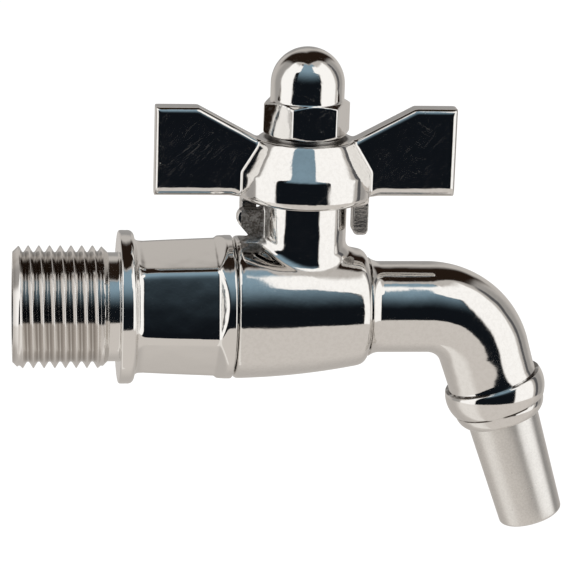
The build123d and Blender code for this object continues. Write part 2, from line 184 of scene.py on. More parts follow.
class Signal:
    """A shader socket that can stand in a sum."""

    def __init__(self, finish, socket):
        self.finish = finish
        self.socket = socket

    def combine(self, operation, first, second):
        return self.finish.signal("ShaderNodeMath", {"operation": operation}, {0: first, 1: second})

    def __add__(self, other):
        return self.combine("ADD", self, other)

    def __radd__(self, other):
        return self.combine("ADD", other, self)

    def __sub__(self, other):
        return self.combine("SUBTRACT", self, other)

    def __rsub__(self, other):
        return self.combine("SUBTRACT", other, self)

    def __mul__(self, other):
        return self.combine("MULTIPLY", self, other)

    def __rmul__(self, other):
        return self.combine("MULTIPLY", other, self)

    def __truediv__(self, other):
        return self.combine("DIVIDE", self, other)

    def __rtruediv__(self, other):
        return self.combine("DIVIDE", other, self)

    def __pow__(self, other):
        return self.combine("POWER", self, other)

    def __rpow__(self, other):
        return self.combine("POWER", other, self)

    def inside(self, low, high, soft):
        """1 between low and high, falling to 0 over the soft width at each end."""
        return self.above(low - soft, low + soft) * (1.0 - self.above(high - soft, high + soft))

    def above(self, low, high):
        """0 below low, 1 above high, smooth between."""
        return self.finish.signal(
            "ShaderNodeMapRange",
            {"interpolation_type": "SMOOTHSTEP"},
            {"Value": self, "From Min": low, "From Max": high},
        )


class Finish:
    """A material and the few calls that build its nodes."""

    def __init__(self, name):
        self.material = bpy.data.materials.new(name)
        self.material.use_nodes = True
        self.tree = self.material.node_tree
        self.shader = self.tree.nodes["Principled BSDF"]

    def node(self, kind, settings=None, inputs=None):
        made = self.tree.nodes.new(kind)
        for key, value in (settings or {}).items():
            setattr(made, key, value)
        for key, value in (inputs or {}).items():
            self.feed(made.inputs[key], value)
        return made

    def signal(self, kind, settings=None, inputs=None, out=0):
        return Signal(self, self.node(kind, settings, inputs).outputs[out])

    def feed(self, socket, value):
        if isinstance(value, Signal):
            self.tree.links.new(value.socket, socket)
        else:
            socket.default_value = value

    def place(self):
        return self.signal("ShaderNodeTexCoord", out="Object")

    def axes(self):
        split = self.node("ShaderNodeSeparateXYZ", inputs={0: self.place()})
        return [Signal(self, output) for output in split.outputs]

    def noise(self, scale, detail=2.0, stretch=(1, 1, 1), roughness=0.5, turn=(0, 0, 0)):
        """Cloudy pattern, 0 to 1, with a scale per metre, turned and then drawn out."""
        turned = self.signal(
            "ShaderNodeVectorRotate",
            {"rotation_type": "EULER_XYZ"},
            {"Vector": self.place(), "Rotation": turn},
        )
        where = self.signal(
            "ShaderNodeMapping", {"vector_type": "POINT"}, {"Vector": turned, "Scale": stretch}
        )
        return self.signal(
            "ShaderNodeTexNoise",
            inputs={"Vector": where, "Scale": scale, "Detail": detail, "Roughness": roughness},
        )

    def blend(self, factor, first, second):
        return self.signal(
            "ShaderNodeMix", {"data_type": "RGBA"}, {"Factor": factor, "A": first, "B": second}, out=2
        )

    def bump(self, height, strength, distance, normal=None):
        inputs = {"Height": height, "Strength": strength, "Distance": distance}
        if normal:
            inputs["Normal"] = normal
        return self.signal("ShaderNodeBump", inputs=inputs)

    def set(self, **values):
        for key, value in values.items():
            self.feed(self.shader.inputs[key.replace("_", " ")], value)
        return self.material


# Colours of the finishes, and what dirt, haze and raw skin add to the roughness
STEEL = (0.80, 0.785, 0.765, 1)
DULL_STEEL = (0.77, 0.753, 0.732, 1)
CAST_DARK = (0.15, 0.138, 0.125, 1)
CAST_GREY = (0.42, 0.41, 0.40, 1)
# Grime colour that also paints shade into the spout's creases and under the nut's seat
GRIME_AND_SHADE = (0.06, 0.045, 0.035, 1)
THREAD_STEEL = (0.80, 0.78, 0.76, 1)
# Darker colour for painted shade in the thread's roots
THREAD_ROOT_SHADE = (0.56, 0.535, 0.51, 1)
SATIN_DULL = (0.745, 0.73, 0.705, 1)
SATIN_BRIGHT = (0.81, 0.795, 0.77, 1)
SATIN_PIT = (0.30, 0.29, 0.28, 1)
SEAL_DULL = (0.86, 0.86, 0.84, 1)
SEAL_WHITE = (0.93, 0.93, 0.91, 1)
RUBBER_BLACK = (0.015, 0.015, 0.016, 1)
RUBBER_BLOOM = (0.035, 0.035, 0.035, 1)
RAW_DULL = 0.33
GRIME_DULL = 0.3
BORE_DULL = 0.3
HAZE_DULL = 0.07
THREAD_DULL = 0.11

# Scales of the patterns, per metre
WAVES = 170
PEEL = 2000
SMUDGES = 90
SCRATCHES = 2600
SPECKS = 2600
CAST_GRAIN = 2600
CAST_BLOTCHES = 700
MOTTLE = 1500
HAZE = 900
HAIRLINES = 3200
CREASE_PATCHES = 420
TURNED_RINGS = 2600
CLOUDS = 260
PITS = 1500
SATIN_GRAIN = 3200
CUT_MARKS = 2200
SEAL_MOTTLE = 900
BLOOM = 1200

# Where one finish passes into another: start and end of each change
WING_SKIN = (11.6 * MM, 12.6 * MM)
SEAT_RIM = (6.9 * MM, 7.4 * MM)
SEAT_DEPTH = (NUT_SEAT - 0.75 * MM, NUT_SEAT - 0.45 * MM)
LUG_INLET = (STEM_X - 6.8 * MM, STEM_X - 6.4 * MM)
LUG_BEHIND = (6.4 * MM, 6.8 * MM)
LUG_BAND = (7.48 * MM, 11.1 * MM)
LUG_RISE = (11.8 * MM, 12.3 * MM)
TAB_ROOT = (18.8 * MM, 19.3 * MM)
TAB_RAW = 0.4
# Bands of grime and painted shade in the spout's creases
LIP_SHADE_AND_DIRT = (LEG_END - 0.22 * MM, LEG_END + 0.02 * MM)
FOLD_SHADE_AND_DIRT = (RIDGE - 0.16 * MM, RIDGE + 0.22 * MM)
SHADE_AND_DIRT_SOFT = 0.06 * MM
POLISH_START = (1.6 * MM, 2.8 * MM)
BORE_SKIN = (INLET_BORE_R + 0.05 * MM, INLET_BORE_R + 0.25 * MM)
THREAD_FLANK = (THREAD_R - THREAD_DEPTH * 0.95, THREAD_R - THREAD_DEPTH * 0.3)
THREAD_TAIL = (0.0, 0.6 * MM)


def reach(first, second):
    """Distance from an axis, from the two measures across it."""
    return (first**2.0 + second**2.0) ** 0.5


def polish_marks(finish, wear=1.0, orange=0.02):
    """Normal and roughness of hand polish: waves and orange peel, then smudges, scratches and specks."""
    waves = finish.noise(WAVES, 1.5)
    peel = finish.noise(PEEL, 2)
    smudge = finish.noise(SMUDGES, 3)
    rising = finish.noise(SCRATCHES, 1, stretch=(0.03, 1, 1), turn=(0, 0.7, 0)).above(0.66, 0.76)
    falling = finish.noise(SCRATCHES, 1, stretch=(0.04, 1, 1), turn=(0.2, -0.5, 0)).above(0.68, 0.78)
    specks = finish.noise(SPECKS, 1).above(0.71, 0.79)
    polish = finish.bump(waves, strength=0.24, distance=0.0006)
    normal = finish.bump(peel, strength=orange, distance=0.0002, normal=polish)
    marks = 0.06 * (rising + falling) + 0.10 * specks
    return normal, 0.05 + 0.05 * smudge.above(0.42, 0.75) + wear * marks


def cast_skin(finish, mask, normal):
    """Colour and normal of raw cast skin where the mask is 1."""
    grain = finish.noise(CAST_GRAIN, 4, roughness=0.65)
    blotch = finish.noise(CAST_BLOTCHES, 2)
    raw = finish.blend((grain * 0.6 + blotch * 0.4).above(0.44, 0.60), CAST_DARK, CAST_GREY)
    colour = finish.blend(mask, mottled(finish), raw)
    return colour, finish.bump(grain * mask, strength=0.55, distance=0.00025, normal=normal)


def mottled(finish):
    """Colour of the polish: bright, with a fine dull mottle."""
    mottle = finish.noise(MOTTLE, 2, roughness=0.6)
    return finish.blend(mottle.above(0.36, 0.60), DULL_STEEL, STEEL)


def nut_finish(name):
    """Tumbled and polished nut with hazy patches."""
    finish = Finish(name)
    normal, roughness = polish_marks(finish, wear=1.6)
    haze = finish.noise(HAZE, 3, roughness=0.6).above(0.50, 0.66)
    level = roughness + haze * HAZE_DULL
    return finish.set(Base_Color=STEEL, Metallic=1.0, Roughness=level, Normal=normal)


def body_finish(name):
    """Hand-polished casting with raw skin on the stop lugs."""
    finish = Finish(name)
    normal, roughness = polish_marks(finish)
    mask = lug_mask(finish)
    colour, cast = cast_skin(finish, mask, normal)
    level = roughness + mask * RAW_DULL
    return finish.set(Base_Color=colour, Metallic=1.0, Roughness=level, Normal=cast)


def handle_finish(name):
    """Hand-polished casting: hairlines on the wings, raw skin on the tabs, grime and painted shade round the nut's
    seat.
    """
    finish = Finish(name)
    x, y, z = finish.axes()
    out = reach(x - STEM_X, y)
    wings = out.above(*WING_SKIN)
    normal, roughness = polish_marks(finish, wear=1.0 + wings * 0.4)
    mask = tab_mask(finish)
    colour, cast = cast_skin(finish, mask, normal)
    hairs = finish.noise(HAIRLINES, 2, stretch=(0.12, 1, 0.5), turn=(0, 0.9, 0))
    brushed = finish.bump(hairs * wings, strength=0.05, distance=0.00012, normal=cast)
    hazed = hairs.above(0.48, 0.72) * wings
    # Painted shade, with some grime, in the ring under the nut's seat
    grime_and_shade = (1.0 - out.above(*SEAT_RIM)) * z.above(*SEAT_DEPTH)
    colour = finish.blend(grime_and_shade, colour, GRIME_AND_SHADE)
    level = roughness + mask * RAW_DULL + hazed * HAZE_DULL + grime_and_shade * GRIME_DULL
    return finish.set(Base_Color=colour, Metallic=1.0, Roughness=level, Normal=brushed)


def spout_finish(name):
    """Hand-polished steel with brown grime and painted shade in the creases."""
    finish = Finish(name)
    normal, roughness = polish_marks(finish, orange=0.015)
    grime_and_shade = crease_mask(finish)
    # Painted crease shade mixed with grime
    colour = finish.blend(grime_and_shade, mottled(finish), GRIME_AND_SHADE)
    level = roughness + grime_and_shade * GRIME_DULL
    return finish.set(Base_Color=colour, Metallic=1.0, Roughness=level, Normal=normal)


def lug_mask(finish):
    """Stop lugs: outside the neck at the back and the inlet side, short of their rubbed outer edge."""
    x, y, z = finish.axes()
    out = reach(x - STEM_X, y)
    inlet = 1.0 - x.above(*LUG_INLET)
    behind = y.above(*LUG_BEHIND)
    return (inlet + behind) * out.inside(*LUG_BAND, 0.1 * MM) * z.above(*LUG_RISE)


def tab_mask(finish):
    """Stop tabs under the hub, half rubbed bright."""
    z = finish.axes()[2]
    return TAB_RAW - TAB_RAW * z.above(*TAB_ROOT)


def crease_mask(finish):
    """Grime and painted shade in the creases of the spout, above the bead and below it."""
    x, _, z = finish.axes()
    along = (x - OUTLET_START.x) * OUTLET_WAY.x + (z - OUTLET_START.z) * OUTLET_WAY.z
    lip = along.inside(*LIP_SHADE_AND_DIRT, SHADE_AND_DIRT_SOFT)
    fold = along.inside(*FOLD_SHADE_AND_DIRT, SHADE_AND_DIRT_SOFT)
    patchy = finish.noise(CREASE_PATCHES, 2).above(0.36, 0.56)
    return (lip + fold) * patchy


def satin_steel(name):
    """Turned steel: fine rings across the tube and a soft, even sheen."""
    finish = Finish(name)
    rings = finish.noise(TURNED_RINGS, 2, stretch=(0.10, 0.10, 1.0), turn=(0, math.pi / 2 - BEND, 0))
    cloud = finish.noise(CLOUDS, 3)
    pits = finish.noise(PITS, 1).above(0.76, 0.82)
    grain = finish.noise(SATIN_GRAIN, 2).above(0.36, 0.64)
    normal = finish.bump(rings, strength=0.07, distance=0.0001)
    satin = finish.blend(grain, SATIN_DULL, SATIN_BRIGHT)
    colour = finish.blend(pits * 0.6, satin, SATIN_PIT)
    level = 0.23 + 0.08 * cloud + 0.05 * rings
    return finish.set(Base_Color=colour, Metallic=1.0, Roughness=level, Normal=normal)


def threaded_steel(name):
    """Connector: hand-polished flange and hexagon, clean machined thread with painted shade in its roots, dull
    bore.
    """
    finish = Finish(name)
    x, y, z = finish.axes()
    out = reach(y, z)
    polished = x.above(*POLISH_START)
    normal, roughness = polish_marks(finish)
    cut = finish.noise(CUT_MARKS, 1, stretch=(0.2, 1, 1))
    plain = finish.bump(cut, strength=0.01, distance=0.00005)
    mixed = finish.blend(polished, plain, normal)
    bored = 1.0 - out.above(*BORE_SKIN)
    level = THREAD_DULL + polished * (roughness - THREAD_DULL) + bored * BORE_DULL
    # Painted shade: the colour darkens deeper in the thread's grooves
    crest = out.above(*THREAD_FLANK)
    colour = finish.blend(crest, THREAD_ROOT_SHADE, THREAD_STEEL)
    colour = finish.blend(x.above(*THREAD_TAIL), colour, STEEL)
    return finish.set(Base_Color=colour, Metallic=1.0, Roughness=level, Normal=mixed)


def sealing_plastic(name):
    """Plain white seal material with a faint mottle."""
    finish = Finish(name)
    mottle = finish.noise(SEAL_MOTTLE, 2)
    colour = finish.blend(mottle, SEAL_DULL, SEAL_WHITE)
    return finish.set(Base_Color=colour, Roughness=0.45 + 0.1 * mottle)


def seal_rubber(name):
    """Black rubber with a dull bloom."""
    finish = Finish(name)
    bloom = finish.noise(BLOOM, 3)
    colour = finish.blend(bloom, RUBBER_BLACK, RUBBER_BLOOM)
    return finish.set(Base_Color=colour, Roughness=0.55 + 0.15 * bloom)


def dress(node, material):
    """Give a carried-over solid its finish."""
    mesh = nodes[node].data
    mesh.materials.clear()
    mesh.materials.append(material)


def soft_min(first, second, width):
    """The lower of two sizes, with the corner between them rounded."""
    step = max(width - abs(first - second), 0.0) / width
    return min(first, second) - step * step * width / 4


def thread_radius(x, turn):
    """Radius of the thread at a place along it and a share of a turn, with its lead-in and run-out."""
    turned = min(THREAD_R, THREAD_R - THREAD_CHAMFER + x - THREAD_END)
    turned = min(turned, THREAD_R - (THREAD_R - RELIEF_R) * x / RUNOUT)
    phase = (x / PITCH + turn) % 1.0
    slope = (abs(2 * phase - 1) - CREST_FLAT) / (1 - CREST_FLAT - ROOT_FLAT)
    groove = THREAD_DEPTH * soft_min(-soft_min(-slope, 0.0, CREST_SOFT), 1.0, ROOT_SOFT)
    lead = min(max((x - LEAD_X) / LEAD, 0.0), 1.0)
    fade = min(max((FADE_END - x) / FADE, 0.0), 1.0)
    return soft_min(turned, THREAD_R - groove * lead * fade, TURNED_SOFT)


def hexagon_radius(x, angle, turned_r):
    """Radius of the skin past the flange: the turned form, less the six flats."""
    if not HEX_X < x < COLLAR_END - 0.05 * MM:
        return turned_r
    ramp_x = COLLAR_END - COLLAR_LEN - (COLLAR_R - HEX_FLAT_BODY)
    along = (x - HEX_X) / (ramp_x - HEX_X)
    flat = HEX_FLAT_INLET + (HEX_FLAT_BODY - HEX_FLAT_INLET) * along + max(x - ramp_x, 0.0)
    near = max(HEX_FILLET - x + HEX_X, 0.0)
    flat += HEX_FILLET - math.sqrt(HEX_FILLET**2 - near**2)
    turn = (angle - HEX_LEAN + math.pi / 6) % (math.pi / 3) - math.pi / 6
    crown = HEX_CROWN * (1 - (turn * 6 / math.pi) ** 2)
    corner = flat / math.cos(math.pi / 6) - CORNER_CUT
    side = soft_min((flat + crown) / math.cos(turn), corner, CORNER_SOFT)
    return soft_min(turned_r, side, CORNER_SOFT)


def between(start, end, count):
    """Evenly spaced points from one profile point up to the next."""
    return [
        (start[0] + (end[0] - start[0]) * i / count, start[1] + (end[1] - start[1]) * i / count)
        for i in range(count)
    ]


def round_corner(centre, radius, start_deg, end_deg, count):
    """Points of a rounded profile corner."""
    points = []
    for i in range(count + 1):
        angle = math.radians(start_deg + (end_deg - start_deg) * i / count)
        points.append((centre[0] + radius * math.cos(angle), centre[1] + radius * math.sin(angle)))
    return points


def bore_profile():
    """Half-section of the connector from the nose's bore out to the start of the thread."""
    points = between((NOSE_END, NOSE_BORE_R), (BORE_CONE_END, NOSE_BORE_R), 2)
    points += between((BORE_CONE_END, NOSE_BORE_R), (BORE_CONE_X, INLET_BORE_R), 2)
    points += between((BORE_CONE_X, INLET_BORE_R), (THREAD_END, INLET_BORE_R), 4)
    points += between((THREAD_END, INLET_BORE_R), (THREAD_END, THREAD_R - THREAD_CHAMFER), 6)
    return points


def outer_profile():
    """Half-section of the connector from the relief out over flange, hexagon and collar to the nose."""
    fillet = RELIEF_FILLET
    edge = FLANGE_EDGE
    shoulder = FLANGE_SHOULDER
    hollow = HEX_FILLET / 2
    points = between((RUNOUT, RELIEF_R), (FLANGE_X - fillet, RELIEF_R), 4)
    points += round_corner((FLANGE_X - fillet, RELIEF_R + fillet), fillet, 270, 360, 4)
    points += between((FLANGE_X, RELIEF_R + 0.4 * MM), (FLANGE_X, FLANGE_R - edge), 4)
    points += round_corner((FLANGE_X + edge / 2, FLANGE_R - edge / 2), edge / 2, 180, 90, 5)
    points += round_corner((HEX_X - shoulder, FLANGE_R - shoulder), shoulder, 90, 0, 10)
    points += round_corner((HEX_X + hollow, HEX_ROOT_R + hollow), hollow, 185, 270, 14)
    points += between((HEX_X + hollow + 0.1 * MM, HEX_ROOT_R), (COLLAR_END - COLLAR_LEN, COLLAR_R), 60)
    edge = COLLAR_EDGE
    points += between((COLLAR_END - COLLAR_LEN, COLLAR_R), (COLLAR_END - edge, COLLAR_R), 5)
    points += round_corner((COLLAR_END - edge, COLLAR_R - edge), edge, 90, 0, 6)
    points += between((COLLAR_END, COLLAR_R - 0.5 * MM), (COLLAR_END, NOSE_R), 3)
    points += between((COLLAR_END, NOSE_R), (NOSE_END, NOSE_R), 3)
    points += between((NOSE_END, NOSE_R), (NOSE_END, NOSE_BORE_R), 3)
    return points


def grid_piece(name, rings):
    """Mesh skin from rows of points, each row joined to the next and the last to the first."""
    count = len(rings[0])
    points = [point for ring in rings for point in ring]
    faces = []
    for i in range(len(rings)):
        here = i * count
        there = (i + 1) % len(rings) * count
        for j in range(count - 1):
            faces.append((here + j, here + j + 1, there + j + 1, there + j))
    mesh = bpy.data.meshes.new(name)
    mesh.from_pydata(points, [], faces)
    piece = bpy.data.objects.new(name, mesh)
    bpy.context.collection.objects.link(piece)
    return piece


def tidy_skin(piece):
    """Merge doubles, turn the faces outwards and smooth all but the sharp edges."""
    bpy.ops.object.select_all(action="DESELECT")
    bpy.context.view_layer.objects.active = piece
    piece.select_set(True)
    bpy.ops.object.mode_set(mode="EDIT")
    bpy.ops.mesh.select_all(action="SELECT")
    bpy.ops.mesh.remove_doubles(threshold=MERGE)
    bpy.ops.mesh.normals_make_consistent(inside=False)
    bpy.ops.object.mode_set(mode="OBJECT")
    bpy.ops.object.shade_smooth_by_angle(angle=math.radians(SHARP_DEG))


def connector_row(places):
    """Row of points round the connector, from one (place, radius) for each column."""
    row = []
    for j, (x, r) in enumerate(places):
        angle = 2 * math.pi * j / COLUMNS + HEX_LEAN
        row.append((x, -r * math.cos(angle), r * math.sin(angle)))
    return row


def make_connector():
    """Connector: bore, thread with its rows along the helix, flange and tapered hexagon."""
    turns = [j / COLUMNS for j in range(COLUMNS + 1)]
    rows = [connector_row([point for turn in turns]) for point in bore_profile()]
    for i in range(math.ceil((RUNOUT - THREAD_END + PITCH) / PITCH * TURN_STEPS) + 1):
        drawn = [THREAD_END + PITCH * (i / TURN_STEPS - turn) for turn in turns]
        places = [min(max(x, THREAD_END), RUNOUT) for x in drawn]
        rows.append(connector_row([(x, thread_radius(x, turn)) for x, turn in zip(places, turns)]))
    for x, turned_r in outer_profile():
        angles = [2 * math.pi * turn + HEX_LEAN for turn in turns]
        rows.append(connector_row([(x, hexagon_radius(x, angle, turned_r)) for angle in angles]))
    piece = grid_piece("threaded_connector", rows)
    tidy_skin(piece)
    return piece


def finish_with(piece, kind, **settings):
    """Add a modifier with its settings and apply it."""
    bpy.ops.object.select_all(action="DESELECT")
    bpy.context.view_layer.objects.active = piece
    piece.select_set(True)
    modifier = piece.modifiers.new(kind.lower(), kind)
    for key, value in settings.items():
        setattr(modifier, key, value)
    bpy.ops.object.modifier_apply(modifier=modifier.name)


def start_ring(name, centre, way, radius):
    """Ring of edges across the way, open for drawing out."""
    bpy.ops.object.select_all(action="DESELECT")
    turn = Vector((0, 0, 1)).rotation_difference(way).to_euler()
    bpy.ops.mesh.primitive_circle_add(vertices=RING_POINTS, radius=radius, location=centre, rotation=turn)
    piece = bpy.context.object
    piece.name = name
    bpy.ops.object.transform_apply(location=True, rotation=True, scale=True)
    bpy.ops.object.mode_set(mode="EDIT")
    bpy.ops.mesh.select_mode(type="VERT")
    bpy.ops.mesh.select_all(action="SELECT")
    return piece


def draw_out(start, way, steps):
    """Draw the chosen ring along the way, from its first (place, radius) through the rest."""
    for (here, radius), (there, next_radius) in zip(steps, steps[1:]):
        bpy.ops.mesh.extrude_region_move(TRANSFORM_OT_translate={"value": way * (there - here)})
        swell = next_radius / radius
        bpy.ops.transform.resize(value=(swell, swell, swell), center_override=start + way * there)


def arc_steps(first, middle, last, count):
    """Profile points on the arc through three (place, radius) points, after the first."""
    (ax, ay), (bx, by), (cx, cy) = first, middle, last
    a, b, c = ax**2 + ay**2, bx**2 + by**2, cx**2 + cy**2
    d = 2 * (ax * (by - cy) + bx * (cy - ay) + cx * (ay - by))
    ux = (a * (by - cy) + b * (cy - ay) + c * (ay - by)) / d
    uy = (a * (cx - bx) + b * (ax - cx) + c * (bx - ax)) / d
    radius = math.hypot(ax - ux, ay - uy)
    start = math.atan2(ay - uy, ax - ux)
    end = math.atan2(cy - uy, cx - ux)
    angles = [start + (end - start) * i / count for i in range(1, count + 1)]
    return [(ux + radius * math.cos(angle), uy + radius * math.sin(angle)) for angle in angles]


def make_spout():
    """Spout: shank, tube, bend, leg, bead and ridge outside, then the bore back to the shank."""
    along = Vector((1, 0, 0))
    origin = Vector((0, 0, 0))
    pivot = (BEND_X, 0, -BEND_R)
    edge = SPOUT_EDGE
    piece = start_ring("bent_spout", (SHANK_X, 0, 0), along, SHANK_R)
    flare = round_corner((FLARE_END, SPOUT_R + FLARE_R), FLARE_R, 270 - FLARE_DEG, 270, 12)
    rim_x, rim_r = flare[0]
    tube = [(SHANK_X, SHANK_R), (rim_x - edge, SHANK_R)]
    tube += [(rim_x - edge, rim_r - 4 * edge), (rim_x - edge, rim_r - edge)] + flare
    tube += [(BEND_X - TUBE_MIDDLE, SPOUT_R), (BEND_X, SPOUT_R)]
    draw_out(origin, along, tube)
    bpy.ops.mesh.spin(steps=48, angle=-BEND, center=pivot, axis=(0, 1, 0))
    leg = [(0, SPOUT_R), (LEG_END * 0.35, SPOUT_R - LEG_WAIST / 2), (LEG_END * 0.8, SPOUT_R - LEG_WAIST)]
    leg += [(LEG_END - edge, LEG_END_R), (LEG_END, LEG_END_R + edge / 2)]
    leg += [(LEG_END, BEAD_EDGE_R - edge), (LEG_END + edge, BEAD_EDGE_R)]
    leg += arc_steps(leg[-1], (BEAD_CROWN, BEAD_R), (RIDGE - edge, BEAD_END_R), 14)
    leg += [(RIDGE, BEAD_END_R - edge), (RIDGE, RIDGE_R)]
    middle = ((RIDGE + BEADS_END) / 2, (RIDGE_R + RIDGE_END_R) / 2 + RIDGE_CROWN)
    leg += arc_steps(leg[-1], middle, (BEADS_END, RIDGE_END_R), 8)
    leg += [(BEADS_END, NOZZLE_R + SOCKET_GAP), (SOCKET, NOZZLE_R + SOCKET_GAP)]
    leg += [(SOCKET, SPOUT_BORE_R), (0, SPOUT_BORE_R)]
    draw_out(OUTLET_START, OUTLET_WAY, leg)
    bpy.ops.mesh.spin(steps=24, angle=BEND, center=pivot, axis=(0, 1, 0))
    draw_out(origin, along, [(BEND_X, SPOUT_BORE_R), (SHANK_X, SPOUT_BORE_R), (SHANK_X, SHANK_R)])
    bpy.ops.object.mode_set(mode="OBJECT")
    tidy_skin(piece)
    return piece


def make_nozzle():
    """Nozzle: straight in the collar, tapered below it, with a rounded mouth and a plain bore."""
    lip = NOZZLE_LIP
    piece = start_ring("spout_nozzle", OUTLET_START + OUTLET_WAY * SOCKET, OUTLET_WAY, NOZZLE_R)
    line = [(SOCKET, NOZZLE_R), (BEADS_END, NOZZLE_R)]
    line += between(line[-1], (NOZZLE_TIP - lip, NOZZLE_TIP_R), 8)[1:]
    line += round_corner((NOZZLE_TIP - lip, NOZZLE_TIP_R - lip), lip, 90, 0, 6)
    line += round_corner((NOZZLE_TIP - lip / 2, NOZZLE_BORE_R + lip / 2), lip / 2, 0, -90, 4)
    line += [(SOCKET, NOZZLE_BORE_R), (SOCKET, NOZZLE_R)]
    draw_out(OUTLET_START, OUTLET_WAY, line)
    bpy.ops.object.mode_set(mode="OBJECT")
    tidy_skin(piece)
    return piece


def cast_copy(node, name, grain, passes, shape):
    """Merged copy of a solid with its edges softened, as a polished casting's are."""
    piece = bpy.data.objects.new(name, nodes[node].data.copy())
    bpy.context.collection.objects.link(piece)
    tidy_skin(piece)
    finish_with(piece, "REMESH", mode="VOXEL", voxel_size=grain, adaptivity=0.0)
    shape(piece.data)
    finish_with(piece, "SMOOTH", factor=0.5, iterations=passes)
    bpy.ops.object.shade_smooth()
    return piece


# Finishes and pieces
body_steel = body_finish("polished_body")
handle_steel = handle_finish("polished_handle")
nut_steel = nut_finish("polished_nut")
nozzle_steel = satin_steel("satin_nozzle")
inner_steel = satin_steel("turned_inner_steel")
white_seal = sealing_plastic("white_seal")
black_rubber = seal_rubber("black_seal_rubber")

slot_finish = {
    "polished_steel": nut_steel,
    "satin_steel": inner_steel,
    "white_seal": white_seal,
    "black_rubber": black_rubber,
}
for part in frame["record"]["subparts"]:
    dress(part["node"], slot_finish[part["material_slot"]])
dress("outlet_nozzle", nozzle_steel)


def round_wing_feet(mesh):
    """Roll the wings' lower edges under, as the casting's are."""
    full = WING_T / 2
    for vertex in mesh.vertices:
        x, y, z = vertex.co
        rise = z - WING_BOTTOM
        share = min(max((abs(x - STEM_X) - HUB_R) / FOOT_BLEND, 0.0), 1.0)
        if share > 0 and rise < FOOT_ROUND:
            half = full - FOOT_ROUND + math.sqrt(max(FOOT_ROUND**2 - (FOOT_ROUND - rise) ** 2, 0.0))
            vertex.co.y = y * (1 + share * (min(half / full, 1.0) - 1))


def round_lugs(mesh):
    """Round the stop lugs' tips and draw in their feet, as hand fettling leaves them."""
    for vertex in mesh.vertices:
        x, y, z = vertex.co
        if z < LUG_FOOT:
            continue
        slope = min((z - LUG_FOOT) / (LUG_SHOULDER - LUG_FOOT), 1.0)
        reach = LUG_FOOT_REACH + (LUG_REACH - LUG_FOOT_REACH) * slope
        rise = min(max(z - LUG_TOP + LUG_ROUND, 0.0), LUG_ROUND)
        reach -= LUG_ROUND - math.sqrt(LUG_ROUND**2 - rise**2)
        vertex.co.x = max(x, STEM_X - reach)
        vertex.co.y = min(y, reach)


def chamfer_nut_foot(mesh):
    """Turn the corners off the nut's lower end."""
    low = min(vertex.co.z for vertex in mesh.vertices)
    for vertex in mesh.vertices:
        x, y, z = vertex.co
        reach = math.hypot(x - STEM_X, y)
        turned = NUT_FOOT_R + (z - low) * math.sqrt(3)
        if reach > turned:
            vertex.co.x = STEM_X + (x - STEM_X) * turned / reach
            vertex.co.y = y * turned / reach


def fit_piece(piece, node, body, material):
    """Give a piece its finish and its body, and hide the solid that it stands for."""
    piece.data.materials.clear()
    piece.data.materials.append(material)
    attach(piece, body)
    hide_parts(node)


connector_steel = threaded_steel("machined_connector")
fit_piece(make_connector(), "inlet_connector", "valve", connector_steel)
fit_piece(make_spout(), "spout", "valve", spout_finish("polished_spout"))
fit_piece(make_nozzle(), "outlet_nozzle", "valve", nozzle_steel)
cast_body = cast_copy("valve_body", "cast_body", grain=0.26 * MM, passes=12, shape=round_lugs)
fit_piece(cast_body, "valve_body", "valve", body_steel)
wing_handle = cast_copy("handle", "wing_handle", grain=0.22 * MM, passes=7, shape=round_wing_feet)
fit_piece(wing_handle, "handle", "turning_parts", handle_steel)
domed_nut = cast_copy("cap_nut", "domed_nut", grain=0.15 * MM, passes=8, shape=chamfer_nut_foot)
fit_piece(domed_nut, "cap_nut", "turning_parts", nut_steel)


def camera_axes():
    """Right, up and back of a camera that stands level with the pipe."""
    back = Vector((
        math.sin(CAMERA_AZIMUTH) * math.cos(CAMERA_ELEVATION),
        -math.cos(CAMERA_AZIMUTH) * math.cos(CAMERA_ELEVATION),
        math.sin(CAMERA_ELEVATION),
    ))
    pipe = Vector((1, 0, 0))
    right = (pipe - back * pipe.dot(back)).normalized()
    return right, back.cross(right), back


def make_camera():
    """Camera at the photograph's viewing angle, with the part as large in its frame."""
    right, up, back = camera_axes()
    target = Vector((STEM_X, 0, 0)) + right * CENTRE_RIGHT + up * CENTRE_UP
    data = bpy.data.cameras.new("camera")
    data.sensor_width = SENSOR
    data.lens = SENSOR * CAMERA_DISTANCE / FRAME_WIDTH
    data.clip_start = 0.01
    camera = bpy.data.objects.new("camera", data)
    turn = Matrix((right, up, back)).transposed().to_4x4()
    camera.matrix_world = Matrix.Translation(target + back * CAMERA_DISTANCE) @ turn
    bpy.context.collection.objects.link(camera)
    bpy.context.scene.camera = camera


def make_floor():
    """Pale floor, white to the camera apart from the shadow, unseen in the metal."""
    finish = Finish("pale_floor")
    finish.set(Base_Color=(0.85, 0.85, 0.85, 1), Roughness=0.9)
    finish.shader.inputs["Specular IOR Level"].default_value = 0.0
    path = finish.node("ShaderNodeLightPath")
    white = finish.node("ShaderNodeEmission", inputs={"Color": (1, 1, 1, 1), "Strength": 1.0})
    mixed = finish.node("ShaderNodeMixShader")
    seen = Signal(finish, path.outputs["Is Camera Ray"]) * 0.9
    finish.feed(mixed.inputs[0], seen)
    finish.tree.links.new(finish.shader.outputs[0], mixed.inputs[1])
    finish.tree.links.new(white.outputs[0], mixed.inputs[2])
    finish.tree.links.new(mixed.outputs[0], finish.tree.nodes["Material Output"].inputs["Surface"])
    bpy.ops.object.select_all(action="DESELECT")
    bpy.ops.mesh.primitive_plane_add(size=FLOOR_SIZE, location=(STEM_X, 0, FLOOR_Z))
    floor = bpy.context.object
    floor.name = "floor"
    floor.data.materials.append(finish.material)
    floor.visible_glossy = False


